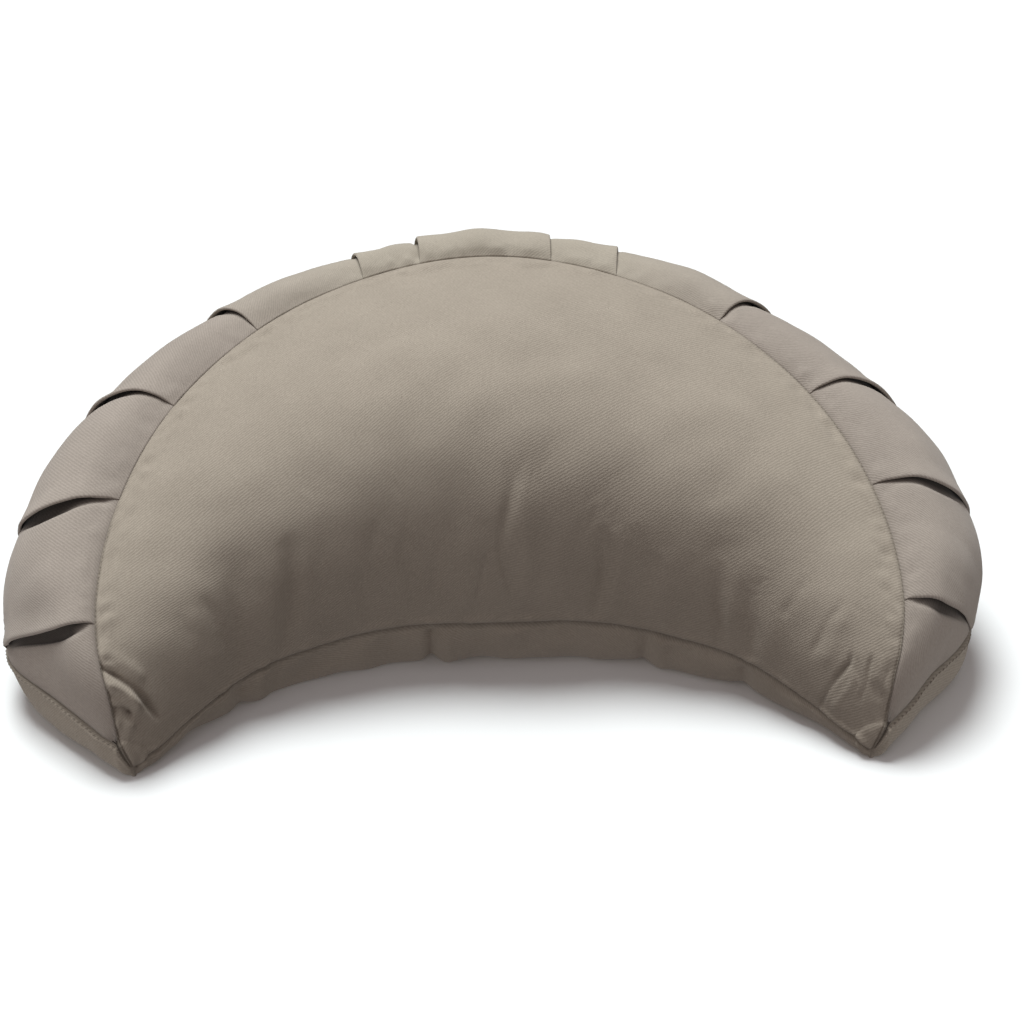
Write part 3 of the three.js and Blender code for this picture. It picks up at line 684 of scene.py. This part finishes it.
def makeBand():
    radius = lambda angle, s: float(bandSurface(np.array([angle]), s)[0][0, 0])
    shares = crowded(pleats["rows"], 0.45)
    half = 0.5 * pleats["cloth"]
    outerRows, innerRows, uvRows, shadeRows = [], [], [], []
    bestShare, stripRun = -1.0, None
    lengthAt = lambda angle: np.linalg.norm(
        np.diff(np.stack([bandSurface(angle, s)[0] for s in np.linspace(0, 1, 12)], 1), axis=1), axis=-1
    ).sum(1)
    for s in shares:
        right = halfPath(pleats["right"], s, radius)
        left = [(-a, n, b) for a, n, b in halfPath(pleats["left"], s, radius)][::-1]
        path = np.array(left[:-1] + right)
        angle, height, foldShade = path[:, 0], path[:, 1], 0.9 * path[:, 2]
        place, normal = bandSurface(angle, s)
        long = lengthAt(angle)
        fromTop, fromLow = s * long, (1 - s) * long
        edge = np.minimum(fromTop, fromLow)
        stand = np.interp(angle, *pleats["stand"]) * smooth(edge / 22)
        place = place + stand[:, None] * normal
        hop = np.radians(np.diff(angle)) * 0.5 * (place[1:, 0] + place[:-1, 0])
        hop = np.sign(hop) * np.hypot(hop, np.diff(place[:, 1]))
        across = np.concatenate([[0], np.cumsum(hop)])
        tangent = np.stack([np.gradient(across), np.gradient(height)], -1)
        tangent /= np.maximum(np.linalg.norm(tangent, axis=1, keepdims=True), 1e-9)
        arc = np.concatenate([[0], np.cumsum(np.hypot(np.diff(across), np.diff(height)))])
        arc -= arc[len(left) - 1]
        ground = np.stack([np.radians(angle) * 220, 0 * across + fromTop], -1)
        loose, sewn = smooth(edge / 16), 0.25 + 0.75 * smooth(edge / 7)
        wave = loose * (0.4 * softNoise(ground, 60, 51) + 0.15 * softNoise(ground, 26, 53))
        wave += loose * 0.9 * bell(angle, 9) * np.cos(0.16 * ground[:, 0] + 0.6) * smooth(1 - s)
        wave += bell(edge - 4, 6) * 0.32 * softNoise(ground * np.array([1, 0.3]), 8, 57)
        seamPull = seamShare(angle)
        dip = pleats["seamDip"] * seamPull * bell(edge, 1.6)
        shut = smooth((crescent["tip"] - np.abs(angle)) / 6)
        for side, store in ((1, outerRows), (-1, innerRows)):
            offAngle = angle - side * half * tangent[:, 1] / place[:, 0] * 180 / np.pi
            offHeight = height + side * half * tangent[:, 0]
            base, up = bandSurface(offAngle, s)
            proud = (offHeight + wave) * sewn * (0.35 + 0.65 * shut) + stand - dip
            store.append(atAngle(offAngle, base + proud[:, None] * up))
        uvRows.append(np.stack([arc, fromTop], -1))
        if abs(s - 0.4) < abs(bestShare - 0.4):
            bestShare, stripRun = s, arc
        # painted shade along the top seam, inside each fold and just past each lip
        shadeRows.append(np.clip(0.35 * seamPull * bell(edge, 0.7) + foldShade, 0, 1))
    outer, inner = np.stack(outerRows, 1), np.stack(innerRows, 1)
    uv, shade = np.stack(uvRows, 1), np.stack(shadeRows, 1)
    uv[..., 0] = stripRun[:, None]
    cols, rows = outer.shape[:2]
    index = np.arange(cols * rows).reshape(cols, rows)
    under = index + cols * rows
    ring = lambda grid: [grid[:-1, :-1], grid[1:, :-1], grid[1:, 1:], grid[:-1, 1:]]
    faces = np.stack(ring(index), -1).reshape(-1, 4).tolist()
    faces += np.stack(ring(under)[::-1], -1).reshape(-1, 4).tolist()
    uvFlat = uv.reshape(-1, 2)
    for edge in (
        np.stack([index[1:, 0], index[:-1, 0], under[:-1, 0], under[1:, 0]], -1),
        np.stack([index[:-1, -1], index[1:, -1], under[1:, -1], under[:-1, -1]], -1),
        np.stack([index[0, :-1], index[0, 1:], under[0, 1:], under[0, :-1]], -1),
        np.stack([index[-1, 1:], index[-1, :-1], under[-1, :-1], under[-1, 1:]], -1),
    ):
        faces += edge.tolist()
    loopVerts = np.array(faces).ravel() % (cols * rows)
    verts = np.concatenate([outer.reshape(-1, 3), inner.reshape(-1, 3)])
    shades = np.concatenate([shade.ravel(), shade.ravel()])
    piece = meshObject("pleatedBand", verts, faces, uvFlat[loopVerts], shades, bandTwill)
    size = (float(np.ptp(uv[..., 0])) * 0.001, float(uv[..., 1].max()) * 0.001)
    sides = lambda grid: np.cross(grid[1:, :-1] - grid[:-1, :-1], grid[:-1, 1:] - grid[:-1, :-1])
    area = lambda grid: np.linalg.norm(sides(grid), axis=-1).sum()
    return piece, size, float(0.5 * (area(outer) + area(inner))) * 1e-6


pleatedBand, bandCut, bandArea = makeBand()
print("band made:", len(pleatedBand.data.polygons), "faces, cut", [round(x, 3) for x in bandCut], "m")


# machine stitches along the seams
stitches = {
    "topSeam": {"pitch": 2.9, "length": 1.8, "width": 0.32, "lean": 12.0, "proud": 0.05, "seed": 4},
    "hollowSeam": {"pitch": 3.0, "length": 1.9, "width": 0.4, "lean": 10.0, "proud": 0.05, "seed": 7},
    "lowSeam": {"pitch": 3.0, "length": 2.1, "width": 0.42, "lean": 18.0, "proud": 0.06, "seed": 9},
}


def stitchTree():
    tree = bpy.data.node_groups.new("stitchRow", "GeometryNodeTree")
    face = tree.interface
    face.new_socket("Seam", in_out="INPUT", socket_type="NodeSocketGeometry")
    for name in ("Pitch", "Length", "Width", "Lean"):
        face.new_socket(name, in_out="INPUT", socket_type="NodeSocketFloat")
    face.new_socket("Seed", in_out="INPUT", socket_type="NodeSocketInt")
    face.new_socket("Thread", in_out="INPUT", socket_type="NodeSocketMaterial")
    face.new_socket("Stitches", in_out="OUTPUT", socket_type="NodeSocketGeometry")
    start = tree.nodes.new("NodeGroupInput").outputs
    curve = addNode(tree, "GeometryNodeMeshToCurve", Mesh=start["Seam"])
    points = addNode(tree, "GeometryNodeResampleCurve", {"mode": "LENGTH"}, Curve=curve.outputs[0], Length=start["Pitch"])
    tangent = addNode(tree, "GeometryNodeInputTangent")
    proud = addNode(tree, "GeometryNodeInputNamedAttribute", {"data_type": "FLOAT_VECTOR"}, Name="proud")
    along = addNode(tree, "FunctionNodeAlignRotationToVector", {"axis": "X"}, Vector=tangent.outputs[0])
    standing = {"axis": "Z", "pivot_axis": "X"}
    upright = addNode(tree, "FunctionNodeAlignRotationToVector", standing, Rotation=along.outputs[0], Vector=proud.outputs[0])
    wobble = addNode(tree, "FunctionNodeRandomValue", {"data_type": "FLOAT"}, in2=0.75, in3=1.25, Seed=start["Seed"])
    lean = addNode(tree, "ShaderNodeMath", {"operation": "MULTIPLY"}, in0=start["Lean"], in1=wobble.outputs[1])
    turn = addNode(tree, "FunctionNodeAxisAngleToRotation", Axis=(0, 0, 1), Angle=lean.outputs[0])
    local = {"rotation_space": "LOCAL"}
    facing = addNode(tree, "FunctionNodeRotateRotation", local, Rotation=upright.outputs[0], Rotate_By=turn.outputs[0])
    ball = addNode(tree, "GeometryNodeMeshUVSphere", Segments=6, Rings=5, Radius=0.5)
    size = addNode(tree, "ShaderNodeCombineXYZ", X=start["Length"], Y=start["Width"], Z=start["Width"])
    stitch = addNode(tree, "GeometryNodeTransform", Geometry=ball.outputs[0], Scale=size.outputs[0])
    row = addNode(tree, "GeometryNodeInstanceOnPoints", Points=points.outputs[0], Instance=stitch.outputs[0])
    tree.links.new(facing.outputs[0], row.inputs["Rotation"])
    plain = addNode(tree, "GeometryNodeRealizeInstances", Geometry=row.outputs[0])
    coloured = addNode(tree, "GeometryNodeSetMaterial", Geometry=plain.outputs[0], Material=start["Thread"])
    end = tree.nodes.new("NodeGroupOutput")
    tree.links.new(coloured.outputs[0], end.inputs[0])
    return tree


def makeStitches(name, points, normals, setup):
    lifted = (points + normals * setup["proud"]) * 0.001
    line = bpy.data.meshes.new(name + "Line")
    line.from_pydata(lifted.tolist(), [(k, k + 1) for k in range(len(lifted) - 1)], [])
    line.attributes.new("proud", "FLOAT_VECTOR", "POINT").data.foreach_set("vector", normals.astype(np.float32).ravel())
    holder = bpy.data.objects.new(name + "Line", line)
    scene.collection.objects.link(holder)
    rows = holder.modifiers.new("stitchRow", "NODES")
    rows.node_group = stitchGroup
    given = {"Pitch": setup["pitch"] * 0.001, "Length": setup["length"] * 0.001, "Width": setup["width"] * 0.001,
             "Lean": math.radians(setup["lean"]), "Seed": setup["seed"], "Thread": seamThread}
    for item in stitchGroup.interface.items_tree:
        if item.name in given:
            rows[item.identifier] = given[item.name]
    plain = bpy.data.meshes.new_from_object(holder.evaluated_get(bpy.context.evaluated_depsgraph_get()))
    plain.name = name
    bpy.data.objects.remove(holder)
    piece = bpy.data.objects.new(name, plain)
    plain.polygons.foreach_set("use_smooth", np.ones(len(plain.polygons), bool))
    scene.collection.objects.link(piece)
    return piece


stitchGroup = stitchTree()
stitchPieces = [
    makeStitches("topSeamStitches", *seamLines["seam"], stitches["topSeam"]),
    makeStitches("hollowSeamStitches", *seamLines["hollow"], stitches["hollowSeam"]),
    makeStitches("lowSeamStitches", *seamLines["low"], stitches["lowSeam"]),
]
print("stitches made:", sum(len(p.data.polygons) for p in stitchPieces), "faces")


for piece in (cushionPanels, pleatedBand, *stitchPieces):
    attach(piece, "root")
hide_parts("crescent_cushion")
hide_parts("pleated_band")


# white floor, soft light from above and behind, and the photograph's camera
studio = {
    "floorSize": 9.0,
    "floorColour": (0.86, 0.885, 0.89),
    "sunStrength": 3.20,
    "sunSpread": 27.0,
    "sunFrom": (-0.16, 0.37, 1.0),
    "skyAbove": 0.50,
    "skySide": 0.172,
    "skyBelow": 0.228,
    "leftCard": 0.35,
    "rightCard": 0.05,
    "leftDim": 0.36,         # the sky is duller towards the sides
    "rightDim": 0.72,
    "skyTint": (1.10, 0.975, 0.965),
    # low strip lamps for the turned-up edge: at, towards, watts
    "lowLamps": [((-0.50, -0.32, 0.03), (-0.20, -0.11, 0.02), 0.34), ((0.53, -0.30, 0.03), (0.20, -0.11, 0.02), 0.38)],
    "sunTint": (0.97, 1.0, 1.0),
    "lookAt": (-0.025, -100.417, 57.6),   # mm, at pixel 500, 619
    "azimuth": -2.09,
    "elevation": 36.0,
    "distance": 1728.0,
    "focalPixels": 3567.0,
    "aimPixels": (12.0, 107.0),
}


def makeStudio():
    size = 0.5 * studio["floorSize"]
    floorMesh = bpy.data.meshes.new("studioFloor")
    floorMesh.from_pydata([(-size, -size, 0), (size, -size, 0), (size, size, 0), (-size, size, 0)], [], [(0, 1, 2, 3)])
    floor = bpy.data.objects.new("studioFloor", floorMesh)
    scene.collection.objects.link(floor)
    paint = bpy.data.materials.new("floorPaint")
    paint.use_nodes = True
    shader = paint.node_tree.nodes["Principled BSDF"]
    shader.inputs["Base Color"].default_value = (*studio["floorColour"], 1)
    shader.inputs["Roughness"].default_value = 1.0
    shader.inputs["Specular IOR Level"].default_value = 0.0
    floorMesh.materials.append(paint)
    floor.visible_diffuse = False  # the sky's lower half stands for what the floor sends back
    sun = bpy.data.lights.new("softSun", "SUN")
    sun.energy = studio["sunStrength"]
    sun.color = studio["sunTint"]
    sun.angle = math.radians(studio["sunSpread"])
    lamp = bpy.data.objects.new("softSun", sun)
    lamp.rotation_euler = Vector(studio["sunFrom"]).to_track_quat("Z", "Y").to_euler()
    scene.collection.objects.link(lamp)
    for at, towards, watts in studio["lowLamps"]:
        card = bpy.data.lights.new("lowLamp", "AREA")
        card.energy, card.shape = watts, "RECTANGLE"
        card.size, card.size_y = 0.3, 0.04
        low = bpy.data.objects.new("lowLamp", card)
        low.location = at
        low.rotation_euler = (Vector(at) - Vector(towards)).to_track_quat("Z", "Y").to_euler()
        low.visible_camera = False
        scene.collection.objects.link(low)
    world = bpy.data.worlds.new("studioSky")
    world.use_nodes = True
    scene.world = world
    tree = world.node_tree
    way = addNode(tree, "ShaderNodeTexCoord")
    tilt = addNode(tree, "ShaderNodeSeparateXYZ", Vector=way.outputs["Generated"])
    ramp = addNode(tree, "ShaderNodeValToRGB")
    lift = addNode(tree, "ShaderNodeMapRange", Value=tilt.outputs[2], From_Min=-1.0, From_Max=1.0)
    tree.links.new(lift.outputs[0], ramp.inputs[0])
    for k, (at, key) in enumerate(((0.30, "skyBelow"), (0.55, "skySide"), (1.0, "skyAbove"))):
        stop = ramp.color_ramp.elements[k] if k < 2 else ramp.color_ramp.elements.new(at)
        stop.position = at
        stop.color = (*[studio[key] * c for c in studio["skyTint"]], 1)
    # white cards to the left and right light the sides from below
    clamped = lambda op: {"operation": op, "use_clamp": op == "MULTIPLY"}
    math1 = lambda op, a, b=0.0: addNode(tree, "ShaderNodeMath", clamped(op), in0=a, in1=b).outputs[0]
    blend = lambda kind, a, b: addNode(tree, "ShaderNodeMix", {"data_type": "RGBA", "blend_type": kind}, in0=1.0, in6=a, in7=b)
    below = math1("MULTIPLY", math1("SUBTRACT", 0.1, tilt.outputs[2]), 1.0)
    cards = ramp.outputs[0]
    for sign, key in ((-1.0, "leftCard"), (1.0, "rightCard")):
        side = math1("MULTIPLY", tilt.outputs[0], sign)
        glow = math1("MULTIPLY", math1("MULTIPLY", math1("POWER", side, 2.0), below), studio[key])
        cards = blend("ADD", cards, glow).outputs[2]
    for sign, key in ((-1.0, "leftDim"), (1.0, "rightDim")):
        side = math1("SUBTRACT", 1.0, math1("MULTIPLY", math1("MULTIPLY", tilt.outputs[0], sign), studio[key]))
        cards = blend("MULTIPLY", cards, side).outputs[2]
    tree.links.new(cards, tree.nodes["Background"].inputs[0])
    scene.view_settings.view_transform = "Standard"

    turn, rise = math.radians(studio["azimuth"]), math.radians(studio["elevation"])
    back = Vector((math.sin(turn) * math.cos(rise), -math.cos(turn) * math.cos(rise), math.sin(rise)))
    right = (-back).cross(Vector((0, 0, 1))).normalized()
    up = right.cross(-back)
    aim = -back + (right * studio["aimPixels"][0] + up * studio["aimPixels"][1]) / studio["focalPixels"]
    lens = bpy.data.cameras.new("photoCamera")
    lens.sensor_width = 36.0
    lens.lens = 36.0 * studio["focalPixels"] / 1024
    camera = bpy.data.objects.new("photoCamera", lens)
    camera.location = (Vector(studio["lookAt"]) + back * studio["distance"]) * 0.001
    camera.rotation_euler = aim.to_track_quat("-Z", "Y").to_euler()
    scene.collection.objects.link(camera)
    scene.camera = camera


makeStudio()
print("studio made")
